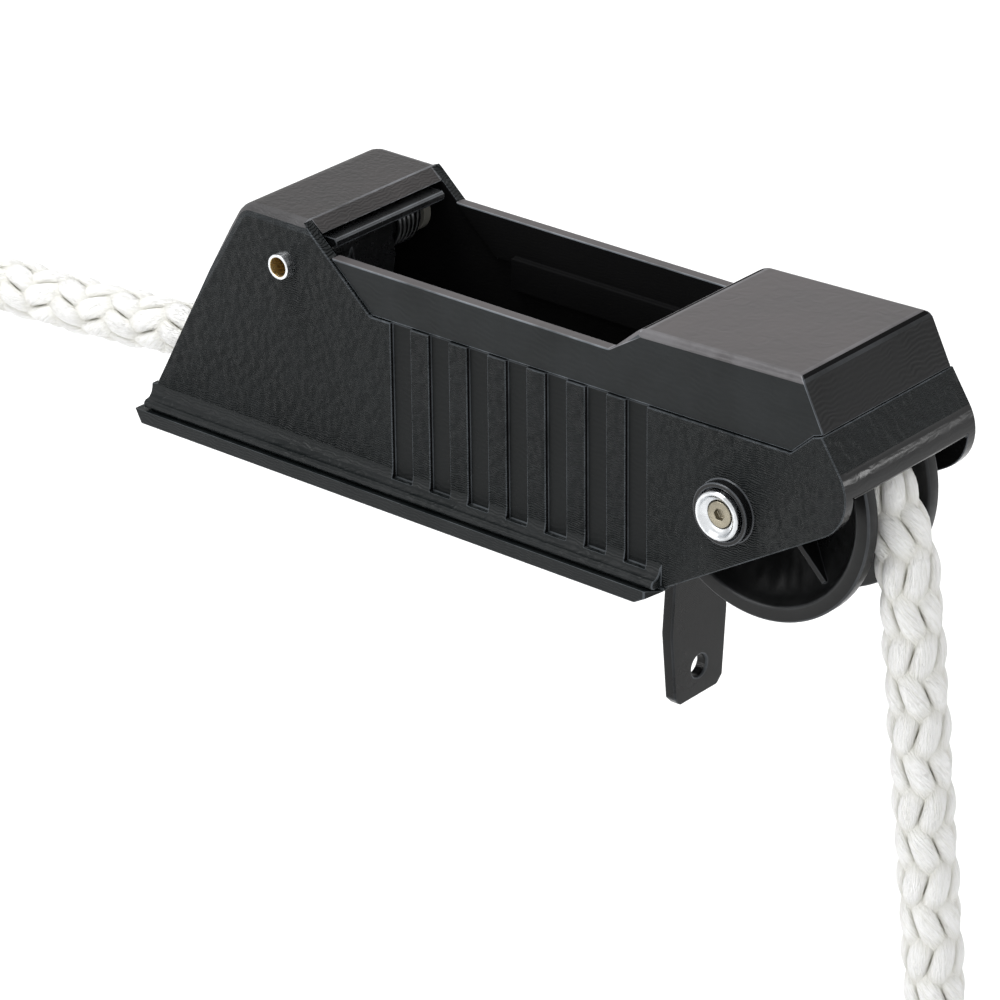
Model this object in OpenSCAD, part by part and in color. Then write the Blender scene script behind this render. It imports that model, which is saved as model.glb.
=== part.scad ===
// Bow fairlead with a front sheave and a rope-locking cam under a rear hood.
// +X points forward to the nose, +Z up. The origin is the middle of the deck-bolt pattern on the underside.

/* [Housing] */
// Rear bottom corner of the side walls, behind the origin
rear_x = -100; // [-110:0.5:-95]
// Overall width over the side walls
housing_w = 48; // [44:0.5:58]
// Thickness of the moulded walls
wall_t = 3; // [2.4:0.1:3.6]
// Height of the hood above the deck
hood_z = 64; // [62:0.5:77]
// Where the virtual rear edge of the hood top lies
hood_rear_x = -67.6; // [-70:0.1:-66]
// Front edge of the hood top
hood_front_x = -47.8; // [-49:0.1:-46]
// Rounding of the hood's rear edge
hood_round = 6; // [3:0.5:8]
// Height of the seam under the smooth top band
seam_z = 46; // [44:0.5:48]
// Height of the rim of the open well
rim_z = 57; // [56:0.5:58]

/* [Nose] */
// Centre of the rounded nose
nose_x = 95.9; // [95:0.1:97]
// Height of the nose centre
nose_z = 39.3; // [39:0.1:40]
// Radius of the rounded nose
nose_r = 11.2; // [11:0.1:12]
// Lower edge of the front roll, where the rope comes out
lip_z = 38.6; // [38:0.1:40]
// Thickness of the front roll
lip_t = 2.4; // [2:0.1:2.6]
// Where the straight bottom edge starts to rise
rise_x = 58.4; // [56:0.1:60]

/* [Side stripes] */
// Number of recessed stripes on each side
stripes = 7; // [3:1:7]
// Rear edge of the first stripe
stripe_x = -21.5; // [-22:0.1:-20]
// Distance from stripe to stripe
stripe_pitch = 11.43; // [10:0.01:12]
// Width of one recess
stripe_w = 5.9; // [4:0.1:6.5]
// Depth of one recess
stripe_d = 0.9; // [0.5:0.1:1.2]

/* [Front cover] */
// Rear lower edge of the raised front cover
cover_rear_x = 42.5; // [41:0.1:44]
// Rear upper edge of the raised front cover
cover_top_rear_x = 50.1; // [49:0.1:52]
// Front upper edge of the raised front cover
cover_top_front_x = 94.5; // [93:0.1:95]
// Height of the cover at its rear edge
cover_rear_z = 63.9; // [63.5:0.1:66]
// Height of the cover at its front edge
cover_front_z = 65.2; // [64.5:0.1:67]
// How far the smooth band stands back from the grained walls
band_step = 0.7; // [0.4:0.1:1]
// Depth of the skirt that plugs into the housing
skirt_h = 6; // [4:0.5:7]

/* [Base] */
// Thickness of the base plate
base_t = 4; // [3.4:0.1:4.8]
// How far the foot stands out beyond each wall
foot_out = 3.8; // [3:0.1:4.6]
// Front end of the flat underside
foot_front_x = 52.5; // [52:0.5:54]
// Deck bolts, distance along the boat
bolt_pitch_x = 64; // [52:1:66]
// Deck bolts, distance across the boat
bolt_pitch_y = 30; // [28:0.5:31]
// Clearance hole for a deck bolt
bolt_hole_d = 5.5; // [5:0.1:6.6]
// Countersink of a deck bolt
bolt_head_d = 10; // [9:0.1:11]

/* [Stem leg] */
// Rear face of the leg
leg_x = 46.5; // [46:0.1:47]
// Thickness of the leg
leg_t = 3.1; // [2.5:0.1:3.7]
// Width of the leg at its lower end
leg_w = 17.5; // [15:0.5:21]
// Length of the leg below the deck
leg_drop = 35.5; // [30:0.5:43]
// Height of the hole centre above the lower end
leg_hole_up = 7.5; // [6:0.5:9]
// Hole for the stem screw
leg_hole_d = 5.5; // [4.6:0.1:6.6]

/* [Sheave] */
// Axle, distance ahead of the origin
axle_x = 75.2; // [74.5:0.1:76]
// Axle height above the deck
axle_z = 28.1; // [28:0.1:29]
// Radius over the sheave flanges
sheave_r = 30.3; // [26:0.1:31]
// Width over the sheave flanges
sheave_w = 26; // [24:0.5:30]
// Radius of the axle tube
axle_r = 4; // [3.4:0.1:4.8]
// Wall of the bush pressed into the sheave
bush_wall = 1.5; // [1.2:0.1:2]
// Outer radius of the silver end cups
cup_r = 5.85; // [5.6:0.05:6.6]
// Radius of the raised bosses on the walls
boss_r = 7.4; // [7.2:0.1:8.8]

/* [Rope cam] */
// Cam pin, distance from the origin
pin_x = -53.3; // [-54:0.1:-52.5]
// Cam pin height above the deck
pin_z = 52.4; // [52:0.1:53]
// Radius of the hollow cam pin
pin_r = 3.05; // [2.6:0.05:3.6]
// Wall of the hollow cam pin
pin_wall = 0.7; // [0.5:0.05:1]
// Width of the toothed tongue
tongue_w = 14; // [12:0.5:16]
// Width of the thumb plate
thumb_w = 38; // [34:0.5:39]
// Radius of the toothed arc
arc_r = 18.6; // [18:0.1:19]
// Depth of the cam teeth
tooth_d = 1.1; // [0.6:0.1:1.4]

/* [Rope] */
// Diameter of the rope
rope_d = 14; // [10:0.5:14]

/* [Hidden] */
$fn = 64;

black = [0.10, 0.105, 0.11];
slate = [0.14, 0.15, 0.155];
silver = [0.78, 0.79, 0.8];
brass = [0.7, 0.6, 0.36];
nylon = [0.86, 0.85, 0.8];
rope_white = [0.93, 0.93, 0.9];

eps = 0.01;             // overlap that makes a cut pass a face
running_fit = 0.06;     // radial clearance of a turning part
slip_fit = 0.1;         // clearance of parts that slide together
face_gap = 0.3;         // gap between turning faces
wall_y = housing_w / 2;
inner_y = wall_y - wall_t;
rope_r = rope_d / 2;

// hood and seam
slope_run = hood_rear_x - rear_x;
slope_a = atan2(hood_z - base_t, slope_run);
slope_shift = wall_t / sin(slope_a);
hood_slope_a = 41.8;
seam_rear_x = hood_front_x + (hood_z - seam_z) / tan(hood_slope_a);
rim_rear_x = hood_front_x + (hood_z - rim_z) / tan(hood_slope_a);
hood_lip_x = hood_front_x + wall_t / tan(hood_slope_a);
round_tangent = hood_round * tan(slope_a / 2);
round_x = hood_rear_x + round_tangent;
round_z = hood_z - hood_round;
round_start = [round_x - hood_round * sin(slope_a), round_z + hood_round * cos(slope_a)];
rear_mouth_w = 24;
rear_mouth_z = 27;

// nose
rise_dx = nose_x - rise_x;
rise_dz = nose_z - base_t;
rise_a = atan2(rise_dz, rise_dx) - asin(nose_r / norm([rise_dx, rise_dz]));
nose_low = [nose_x + nose_r * sin(rise_a), nose_z - nose_r * cos(rise_a)];
nose_front_a = 32.6;
nose_high = [nose_x + nose_r * cos(nose_front_a), nose_z + nose_r * sin(nose_front_a)];
cover_low_z = 53;
cover_low_x = nose_high[0] - (cover_low_z - nose_high[1]) * tan(nose_front_a);
seam_hook = [[92.2, seam_z + 0.9], [98, cover_low_z - 0.8]];

// bosses, screws and washers
boss_out = 2.5;
cup_out = 1.4;
boss_gap = 0.4;
washer_t = 1.2;
washer_r = 9;
sheave_half = sheave_w / 2;
boss_in_y = sheave_half + washer_t + 2 * face_gap;
axle_end_y = wall_y + boss_out - 1.2;
screw_core_r = 2.2;
screw_len = 9;
cam_washer_t = 2.4;
cam_washer_r = 5.5;
cam_half = inner_y - cam_washer_t - 2 * face_gap;
hub_r = 5;
pin_out = 2.8;
base_screw_x = [-78, 46];
base_screw_y = inner_y - 3.4;   // the posts run 0.6 into the walls
base_screw_r = 1.6;
base_screw_head_r = 3.2;
base_screw_len = 14;
post_r = 4;
post_h = 13;

// leg fastening
leg_flare = 1.5;         // the leg widens this much each side below the slot
leg_rivet_x = [26, 37];
leg_rivet_r = 2;
leg_rivet_head_r = 3.6;
leg_foot_rear_x = 20;

// jaw under the cam and the cam's own shape, measured from the pin
jaw_rear_x = -75;
jaw_front_x = -36;
jaw_w = 22;
jaw_t = 3;
jaw_groove = 0.7;
jaw_screw_x = [-71.5, -39.5];
jaw_screw_y = 8.6;
rope_low_z = base_t + jaw_t + rope_r + 0.2;
arc_low_z = rope_low_z + rope_r + face_gap;
arc_c = [-8, arc_low_z + arc_r - pin_z];
arc_from = 252;
arc_to = 306;
teeth = 9;
thumb_top = 7.3;
thumb_under = 5;
thumb_reach = 11.4;
spring_y = tongue_w / 2 + 1.6;
spring_wire = 1.2;
spring_mean_r = hub_r + spring_wire / 2 + 0.5;
spring_turns = 4.25;
spring_pitch = 1.5;
spring_rear_gap = 1;

// rope on the sheave
groove_r = 7.4;
rope_turn_r = 23.9;
leave_a = 63;
bend_r = 60;
bend_x = jaw_front_x + 2;
climb_a = atan2(axle_z - rope_low_z, axle_x - bend_x)
    + asin(rope_turn_r / norm([axle_x - bend_x, axle_z - rope_low_z]));
bend_run = bend_r * tan(climb_a / 2);
rope_join_x = -94;

// free ends of the rope: hand-set points
fall_route = [[96.5, 0, 38.9], [101, 0, 30], [104.8, 0, 22], [107, 0, 14], [108.4, 0, 3],
    [110.2, 0, -14], [112.4, 0, -36], [114.6, 0, -58], [116.8, 0, -80], [118.8, 0, -102]];
tail_route = [[rope_join_x, 0, 14.2], [-104, 0, 13], [-118, 0, 11.4], [-134, 0, 9.8],
    [-150, 0, 8.6], [-166, 0, 7.8], [-180, 0, 7.2], [-192, 0, 7]];
tube_sides = 10;
eye_a = 5.2;            // the fall leans this far from plumb
eye_drop = 38;
thimble_r = 11;
thimble_wall = 1.6;
eye_turn_r = thimble_r + rope_r;

// A plate with an outline in the XZ plane, between two Y values
module slab(y0, y1) {
    translate([0, y1, 0]) rotate([90, 0, 0]) linear_extrude(y1 - y0) children();
}

// The same slab on both sides of the middle plane
module both_slabs(y0, y1) {
    slab(y0, y1) children();
    slab(-y1, -y0) children();
}

// A round bar across the part
module cross_bar(x, z, r, y0, y1) {
    translate([x, y1, z]) rotate([90, 0, 0]) cylinder(r = r, h = y1 - y0);
}

// A revolved shape whose axis lies across the part; its outline is [radius, y]
module cross_turned(x, z) {
    translate([x, 0, z]) rotate([-90, 0, 0]) rotate_extrude($fn = 96) children();
}

// Outline of a whole side wall, cut along the seam
module wall_outline() {
    difference() {
        union() {
            polygon([[rear_x, base_t], round_start, [round_x, hood_z], [hood_front_x, hood_z],
                [seam_rear_x, seam_z], seam_hook[0], seam_hook[1],
                [cover_low_x, cover_low_z], nose_high, [nose_x, nose_z], nose_low, [rise_x, base_t]]);
            translate([round_x, round_z]) circle(hood_round);
            translate([nose_x, nose_z]) circle(nose_r);
        }
        above_seam();
    }
}

// Everything above the seam, ahead of the hood
module above_seam() {
    polygon([[seam_rear_x, seam_z], seam_hook[0], seam_hook[1], [cover_low_x, cover_low_z],
        [cover_low_x, 2 * hood_z], [seam_rear_x, 2 * hood_z]]);
}

// Hood: rear slope, rounded edge, top and front lip
module hood_outline() {
    difference() {
        union() {
            polygon([[rear_x, base_t], round_start, [round_x, hood_z], [hood_front_x, hood_z],
                [hood_lip_x, hood_z - wall_t], [hood_lip_x, base_t]]);
            translate([round_x, round_z]) circle(hood_round);
        }
        polygon([[rear_x + slope_shift, base_t - 1], [rear_x + slope_shift, base_t],
            [round_x - (hood_round - wall_t) * sin(slope_a), round_z + (hood_round - wall_t) * cos(slope_a)],
            [round_x, hood_z - wall_t], [hood_lip_x + 1, hood_z - wall_t], [hood_lip_x + 1, base_t - 1]]);
        translate([round_x, round_z]) circle(hood_round - wall_t);
    }
}

// Front wall between the cheeks: a flat band, then a roll that ends in a rounded lip
module nose_front_outline() {
    lip_a = asin((lip_z + lip_t / 2 - nose_z) / (nose_r - lip_t / 2));
    inner_r = nose_r - lip_t;
    in_high = [nose_x + inner_r * cos(nose_front_a), nose_z + inner_r * sin(nose_front_a)];
    in_low_x = in_high[0] - (cover_low_z - in_high[1]) * tan(nose_front_a);
    difference() {
        polygon([nose_high, [cover_low_x, cover_low_z], [in_low_x, cover_low_z], in_high]);
        above_seam();
    }
    difference() {
        translate([nose_x, nose_z]) circle(nose_r);
        translate([nose_x, nose_z]) circle(inner_r);
        polygon([[nose_x, nose_z], [nose_x + 40 * cos(nose_front_a), nose_z + 40 * sin(nose_front_a)],
            [nose_x, nose_z + 60], [nose_x - 60, nose_z], [nose_x, nose_z - 60],
            [nose_x + 40 * cos(lip_a), nose_z + 40 * sin(lip_a)]]);
    }
    translate([nose_x + (nose_r - lip_t / 2) * cos(lip_a), nose_z + (nose_r - lip_t / 2) * sin(lip_a)])
        circle(lip_t / 2, $fn = 32);
}

// Cross-section of the rounded bead along the foot of a wall
module bead_outline() {
    polygon([[inner_y + 1, base_t], [wall_y + 2.2, base_t], [wall_y + 2.2, base_t + 2.1],
        [wall_y + 1.2, base_t + 2.5], [wall_y + 0.5, base_t + 3.3], [wall_y + 0.15, base_t + 4.4],
        [wall_y, base_t + 5.6], [inner_y + 1, base_t + 5.6]]);
    translate([wall_y + 2.1, base_t + 1.1]) circle(1.1, $fn = 32);
}

module bead() {
    bead_rear_x = rear_x + 1.5;
    bead_front_x = rise_x - 1.2;
    translate([bead_rear_x, 0, 0]) rotate([90, 0, 90])
        linear_extrude(bead_front_x - bead_rear_x) bead_outline();
}

module housing() {
    color(black) difference() {
        union() {
            both_slabs(inner_y, wall_y) wall_outline();
            slab(-inner_y - eps, inner_y + eps) hood_outline();
            slab(-inner_y - eps, inner_y + eps) nose_front_outline();
            bead();
            mirror([0, 1, 0]) bead();
            for (s = [-1, 1]) {
                cross_bar(axle_x, axle_z, boss_r, s > 0 ? boss_in_y : -wall_y - boss_out,
                    s > 0 ? wall_y + boss_out : -boss_in_y);
                for (x = base_screw_x) translate([x, s * base_screw_y, base_t])
                    cylinder(r = post_r, h = post_h);
            }
        }
        for (k = [0:stripes - 1]) both_slabs(wall_y - stripe_d, wall_y + 4)
            translate([stripe_x + k * stripe_pitch, base_t + 3.2]) square([stripe_w, seam_z - base_t - 2.2]);
        rear_mouth();
        cross_bar(axle_x, axle_z, axle_r + slip_fit / 2, -wall_y - 5, wall_y + 5);
        for (s = [-1, 1]) cross_bar(axle_x, axle_z, cup_r + 0.35, s > 0 ? wall_y + boss_out - 1.2 : -wall_y - 5,
            s > 0 ? wall_y + 5 : -wall_y - boss_out + 1.2);
        cross_bar(pin_x, pin_z, pin_r, -wall_y - 1, wall_y + 1);
        for (x = base_screw_x, s = [-1, 1]) translate([x, s * base_screw_y, base_t - 1])
            cylinder(r = base_screw_r, h = base_screw_len - base_t + 2.5, $fn = 32);
    }
}

// Arched opening in the rear slope, where the rope goes aft
module rear_mouth() {
    half = rear_mouth_w / 2;
    arch_z = rear_mouth_z - half;
    translate([rear_x - 2, -half, base_t - 1]) cube([24, rear_mouth_w, arch_z - base_t + 1]);
    translate([rear_x - 2, 0, arch_z]) rotate([0, 90, 0]) cylinder(r = half, h = 24);
}

// Outline of the smooth band and the raised cover, seen from the side
module band_outline() {
    polygon([[seam_rear_x + slip_fit, seam_z + slip_fit], [rim_rear_x + slip_fit, rim_z],
        [cover_rear_x - 0.8, rim_z], [cover_rear_x, rim_z + 0.5], [cover_top_rear_x, cover_rear_z],
        [cover_top_front_x, cover_front_z], [cover_low_x, cover_low_z + slip_fit],
        [seam_hook[1][0], seam_hook[1][1] + slip_fit], [seam_hook[0][0], seam_hook[0][1] + slip_fit]]);
}

// Top sheet of the raised cover with its rear and front slopes
module cover_sheet_outline() {
    front_run = cover_low_x - cover_top_front_x;
    front_fall = cover_front_z - cover_low_z;
    front_in = wall_t / sin(atan2(front_fall, front_run));
    polygon([[cover_rear_x, rim_z + 0.5], [cover_top_rear_x, cover_rear_z], [cover_top_front_x, cover_front_z],
        [cover_low_x, cover_low_z + slip_fit], [cover_low_x - front_in, cover_low_z + slip_fit],
        [cover_top_front_x - 1.7, cover_front_z - wall_t], [cover_top_rear_x + 1.1, cover_rear_z - wall_t],
        [cover_rear_x + 2.9, rim_z - 1.1], [cover_rear_x, rim_z - 1.4]]);
}

module top_cover() {
    band_y = wall_y - band_step;
    rail_y = band_y - wall_t;
    skirt_y = inner_y - slip_fit;
    color(slate) {
        both_slabs(rail_y, band_y) band_outline();
        slab(-rail_y - eps, rail_y + eps) cover_sheet_outline();
        both_slabs(skirt_y - 2, skirt_y)
            polygon([[seam_rear_x + 6, seam_z - skirt_h], [seam_rear_x + 6, seam_z + 2],
                [seam_hook[0][0] - 2, seam_z + 2], [seam_hook[0][0] - 8, seam_z - skirt_h]]);
    }
}

// Plan of the base plate: a rectangle with a notch for the sheave
module base_plan() {
    half = wall_y + foot_out;
    notch = sheave_half + 2;
    notch_x = leg_x + leg_t + 3;
    polygon([[rear_x - 1, -half], [rise_x - 3, -half], [rise_x, -half + 3], [rise_x, -notch],
        [notch_x, -notch], [notch_x, notch], [rise_x, notch], [rise_x, half - 3], [rise_x - 3, half],
        [rear_x - 1, half]]);
}

module base_plate() {
    foot_z = base_t - 0.4;
    color(black) difference() {
        intersection() {
            linear_extrude(base_t) base_plan();
            slab(-housing_w, housing_w) polygon([[rear_x + 1, 0], [foot_front_x, 0], [rise_x, base_t - 0.6],
                [rise_x, base_t], [rear_x - 0.8, base_t], [rear_x - 0.8, base_t - 0.6]]);
        }
        for (s = [-1, 1]) translate([rear_x - 5, s > 0 ? wall_y + 0.4 : -wall_y - foot_out - 5, foot_z])
            cube([rise_x - rear_x + 10, foot_out + 4.6, 5]);
        translate([leg_x - slip_fit, -leg_w / 2 - leg_flare - slip_fit, -1])
            cube([leg_t + 2 * slip_fit, leg_w + 2 * leg_flare + 2 * slip_fit, 9]);
        for (x = [-1, 1], y = [-1, 1]) translate([x * bolt_pitch_x / 2, y * bolt_pitch_y / 2, 0]) {
            translate([0, 0, -1]) cylinder(d = bolt_hole_d, h = base_t + 2);
            translate([0, 0, base_t - (bolt_head_d - bolt_hole_d) / 2])
                cylinder(d1 = bolt_hole_d, d2 = bolt_head_d + 0.02, h = (bolt_head_d - bolt_hole_d) / 2 + eps);
        }
        for (x = base_screw_x, s = [-1, 1]) translate([x, s * base_screw_y, 0])
            screw_hole(base_screw_r, base_screw_head_r, base_t);
        for (x = jaw_screw_x, s = [-1, 1]) translate([x, s * jaw_screw_y, 1])
            cylinder(r = 1.4, h = base_t, $fn = 32);
        for (x = leg_rivet_x) translate([x, 0, 0]) screw_hole(leg_rivet_r, leg_rivet_head_r, base_t);
    }
}

// Hole countersunk from below
module screw_hole(r, head_r, h) {
    translate([0, 0, -1]) cylinder(r = r, h = h + 2, $fn = 32);
    translate([0, 0, -eps]) cylinder(r1 = head_r + 2 * eps, r2 = r, h = head_r - r + 2 * eps, $fn = 32);
}

module front_leg() {
    color(black) difference() {
        union() {
            translate([leg_x, -leg_w / 2, 0]) cube([leg_t, leg_w, base_t + leg_t]);
            translate([leg_x, 0, 0]) rotate([90, 0, 90]) linear_extrude(leg_t) polygon([
                [-leg_w / 2 + 2, -leg_drop], [leg_w / 2 - 2, -leg_drop], [leg_w / 2, -leg_drop + 2],
                [leg_w / 2 + leg_flare, -leg_drop + 19], [leg_w / 2, 0], [-leg_w / 2, 0],
                [-leg_w / 2 - leg_flare, -leg_drop + 19], [-leg_w / 2, -leg_drop + 2]]);
            translate([leg_foot_rear_x, -leg_w / 2, base_t])
                cube([leg_x + leg_t - leg_foot_rear_x, leg_w, leg_t]);
        }
        translate([leg_x - 1, 0, -leg_drop + leg_hole_up]) rotate([0, 90, 0])
            cylinder(d = leg_hole_d, h = leg_t + 2);
        for (x = leg_rivet_x) translate([x, 0, base_t - 1]) cylinder(r = leg_rivet_r, h = leg_t + 2, $fn = 32);
    }
}

module leg_rivets() {
    dome = 2;
    color(silver) for (x = leg_rivet_x) translate([x, 0, 0]) {
        cylinder(r = leg_rivet_r, h = base_t + leg_t + eps, $fn = 32);
        cylinder(r1 = leg_rivet_head_r, r2 = leg_rivet_r, h = leg_rivet_head_r - leg_rivet_r, $fn = 32);
        translate([0, 0, base_t + leg_t])
            cylinder(r1 = leg_rivet_head_r, r2 = leg_rivet_head_r - 1.4, h = dome, $fn = 32);
    }
}

module housing_screws() {
    color(silver) for (x = base_screw_x, s = [-1, 1]) translate([x, s * base_screw_y, 0]) difference() {
        union() {
            cylinder(r = base_screw_r, h = base_screw_len, $fn = 32);
            cylinder(r1 = base_screw_head_r, r2 = base_screw_r, h = base_screw_head_r - base_screw_r, $fn = 32);
        }
        for (a = [0, 90]) rotate(a) translate([-1.7, -0.35, -1]) cube([3.4, 0.7, 2]);
    }
}

// Half-section of the sheave before its groove: two flanges, dished on both outer faces
module sheave_outline() {
    rim = 3.6;
    hub_out_r = 9.4;
    web_r = 14;
    web_y = 5.4;
    difference() {
        translate([0, -sheave_half]) square([sheave_r, sheave_w]);
        for (s = [-1, 1]) polygon([[hub_out_r, s * (sheave_half + 1)], [hub_out_r, s * (web_y + 1.5)],
            [hub_out_r + 1.5, s * web_y], [web_r, s * web_y], [sheave_r - rim - 2.2, s * (sheave_half - 2.6)],
            [sheave_r - rim, s * sheave_half], [sheave_r - rim, s * (sheave_half + 1)]]);
        square([2 * (axle_r + bush_wall), 2 * sheave_w], center = true);
    }
}

// The rope's groove, cut last so that the ribs stop short of the rope
module groove_outline() {
    translate([rope_turn_r, 0]) circle(groove_r, $fn = 64);
    polygon([[rope_turn_r, -groove_r], [sheave_r + 1, -groove_r - 2.3], [sheave_r + 1, groove_r + 2.3],
        [rope_turn_r, groove_r]]);
}

module sheave() {
    ribs = 3;
    rib_a = 45;
    rib_t = 1.4;
    rib_from_r = 9;
    rib_to_r = sheave_r - 6;
    color(black) difference() {
        union() {
            cross_turned(axle_x, axle_z) sheave_outline();
            for (k = [0:ribs - 1], s = [-1, 1]) translate([axle_x, 0, axle_z]) rotate([0, rib_a + k * 360 / ribs, 0])
                slab(s > 0 ? 5 : -sheave_half + 2, s > 0 ? sheave_half - 2 : -5) translate([rib_from_r, -rib_t / 2])
                    square([rib_to_r - rib_from_r, rib_t]);
        }
        cross_turned(axle_x, axle_z) groove_outline();
    }
}

module sheave_bush() {
    color(brass) cross_turned(axle_x, axle_z) translate([axle_r + running_fit, -sheave_half])
        square([bush_wall - running_fit, sheave_w]);
}

module sheave_washer(side) {
    y0 = sheave_half + face_gap;
    color(nylon) cross_turned(axle_x, axle_z) translate([axle_r + slip_fit, side > 0 ? y0 : -y0 - washer_t])
        square([washer_r - axle_r - slip_fit, washer_t]);
}

module axle_tube() {
    color(silver) cross_turned(axle_x, axle_z) translate([screw_core_r, -axle_end_y])
        square([axle_r - screw_core_r, 2 * axle_end_y]);
}

module axle_screws() {
    head_r = 3.1;
    color(brass) for (s = [-1, 1]) difference() {
        union() {
            cross_bar(axle_x, axle_z, screw_core_r, s > 0 ? axle_end_y - screw_len : -axle_end_y - 0.4,
                s > 0 ? axle_end_y + 0.4 : -axle_end_y + screw_len);
            cross_bar(axle_x, axle_z, head_r, s > 0 ? axle_end_y + 0.35 : -axle_end_y - 1.25,
                s > 0 ? axle_end_y + 1.25 : -axle_end_y - 0.35);
        }
        translate([axle_x, s * (axle_end_y + 2), axle_z]) rotate([90, 0, 0])
            cylinder(r = 1.45, h = 4, center = true, $fn = 6);
    }
}

// Flared cup on the end of the axle: [radius, y] measured outwards from its seat
module axle_cup(side) {
    seat = axle_end_y;
    cup_h = wall_y + boss_out + cup_out - seat;
    color(silver) cross_turned(axle_x, axle_z) scale([1, side])
        polygon([[screw_core_r + slip_fit, seat + eps], [5, seat + eps], [cup_r - 0.15, seat + 0.7],
            [cup_r, seat + cup_h - 0.5], [cup_r - 0.35, seat + cup_h], [cup_r - 0.9, seat + cup_h],
            [4.4, seat + cup_h - 0.9], [3.9, seat + 1.3], [3.3, seat + 1.0], [3.3, seat + 0.32],
            [screw_core_r + slip_fit, seat + 0.32]]);
}

module cam_pin() {
    color(silver) cross_turned(pin_x, pin_z) translate([pin_r - pin_wall, -wall_y - pin_out])
        square([pin_wall, 2 * (wall_y + pin_out)]);
}

// Toothed tongue, seen from the side and measured from the pin
module tongue_outline() {
    step = (arc_to - arc_from) / (2 * teeth);
    difference() {
        polygon([[-4.9, 0], [-5.5, -6], for (k = [0:2 * teeth]) let(a = arc_from + k * step,
            r = arc_r - (k % 2) * tooth_d) arc_c + r * [cos(a), sin(a)], [6.5, -6], [5, 0]]);
        translate([0, -13]) circle(2.6);
    }
}

// Thumb plate on the front of the hub
module thumb_outline() {
    polygon([[-3, 3.6], [-1, 6.2], [1.5, thumb_top],
        [thumb_reach - 0.4, thumb_top], [thumb_reach, thumb_top - 0.4],
        [thumb_reach, thumb_under + 0.4], [thumb_reach - 0.4, thumb_under], [3.6, thumb_under], [3.5, 3.2]]);
}

module rope_cam() {
    color(slate) difference() {
        union() {
            cross_bar(pin_x, pin_z, hub_r, -cam_half, cam_half);
            translate([pin_x, 0, pin_z]) slab(-tongue_w / 2, tongue_w / 2) tongue_outline();
            difference() {
                translate([pin_x, 0, pin_z]) slab(-thumb_w / 2, thumb_w / 2) thumb_outline();
                cross_bar(pin_x, pin_z, spring_mean_r + spring_wire / 2 + 0.6, spring_y - 1.2,
                    spring_y + spring_pitch * spring_turns + 1.2);
                cross_bar(pin_x, pin_z, cam_washer_r + face_gap, cam_half, wall_y);
                cross_bar(pin_x, pin_z, cam_washer_r + face_gap, -wall_y, -cam_half);
            }
        }
        cross_bar(pin_x, pin_z, pin_r + running_fit, -wall_y, wall_y);
    }
}

module cam_washer(side) {
    y0 = cam_half + face_gap;
    color(nylon) cross_turned(pin_x, pin_z) translate([pin_r + slip_fit, side > 0 ? y0 : -y0 - cam_washer_t])
        square([cam_washer_r - pin_r - slip_fit, cam_washer_t]);
}

// A tube swept along points; each ring faces the mean direction of its neighbours
function ring_dir(p, i) = let(a = p[max(i - 1, 0)], b = p[min(i + 1, len(p) - 1)]) (b - a) / norm(b - a);
function ring(c, d, r, n) = let(u = cross(d, abs(d[1]) < 0.9 ? [0, 1, 0] : [1, 0, 0]),
    v = u / norm(u), w = cross(d, v))
    [for (k = [0:n - 1]) c + r * (cos(k * 360 / n) * v + sin(k * 360 / n) * w)];

module tube(p, r, n) {
    m = len(p);
    polyhedron([for (i = [0:m - 1]) each ring(p[i], ring_dir(p, i), r, n)],
        [[for (k = [0:n - 1]) k], [for (k = [n - 1:-1:0]) (m - 1) * n + k],
            for (i = [0:m - 2], k = [0:n - 1]) each [[i * n + k, (i + 1) * n + k, i * n + (k + 1) % n],
                [i * n + (k + 1) % n, (i + 1) * n + k, (i + 1) * n + (k + 1) % n]]]);
}

// Torsion spring round the hub: one leg bears on the rear slope, the other under the thumb plate
module cam_spring() {
    steps_per_turn = 12;
    steps = steps_per_turn * spring_turns;
    coil = [for (k = [0:steps]) let(a = -90 + k * 360 / steps_per_turn) [pin_x + spring_mean_r * cos(a),
        spring_y + spring_pitch * k / steps_per_turn, pin_z + spring_mean_r * sin(a)]];
    leg_z = pin_z - spring_mean_r;
    hood_leg = [[rear_x + slope_shift + (leg_z - base_t) / tan(slope_a) + spring_rear_gap, spring_y, leg_z]];
    cam_leg = [[pin_x + spring_mean_r + 0.1, spring_y + spring_pitch * spring_turns,
        pin_z + thumb_under - spring_wire / 2 - 0.2]];
    color(silver) tube(concat(hood_leg, coil, cam_leg), spring_wire / 2, 8);
}

module jaw_plate() {
    grooves = 12;
    pitch = (jaw_front_x - jaw_rear_x - 3) / grooves;
    color(silver) difference() {
        translate([jaw_rear_x, -jaw_w / 2, base_t]) cube([jaw_front_x - jaw_rear_x, jaw_w, jaw_t]);
        for (k = [0:grooves - 1]) slab(-6, 6)
            translate([jaw_rear_x + 1.5 + k * pitch, base_t + jaw_t - jaw_groove]) polygon([[0.4, jaw_groove + 0.1], [pitch - 0.4, jaw_groove + 0.1], [pitch - 0.4, 0]]);
        for (x = jaw_screw_x, s = [-1, 1]) translate([x, s * jaw_screw_y, base_t]) {
            translate([0, 0, -1]) cylinder(r = 1.4, h = jaw_t + 2, $fn = 32);
            translate([0, 0, jaw_t - 1.2]) cylinder(r1 = 1.4, r2 = 2.6 + eps, h = 1.2 + eps, $fn = 32);
        }
    }
}

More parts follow.
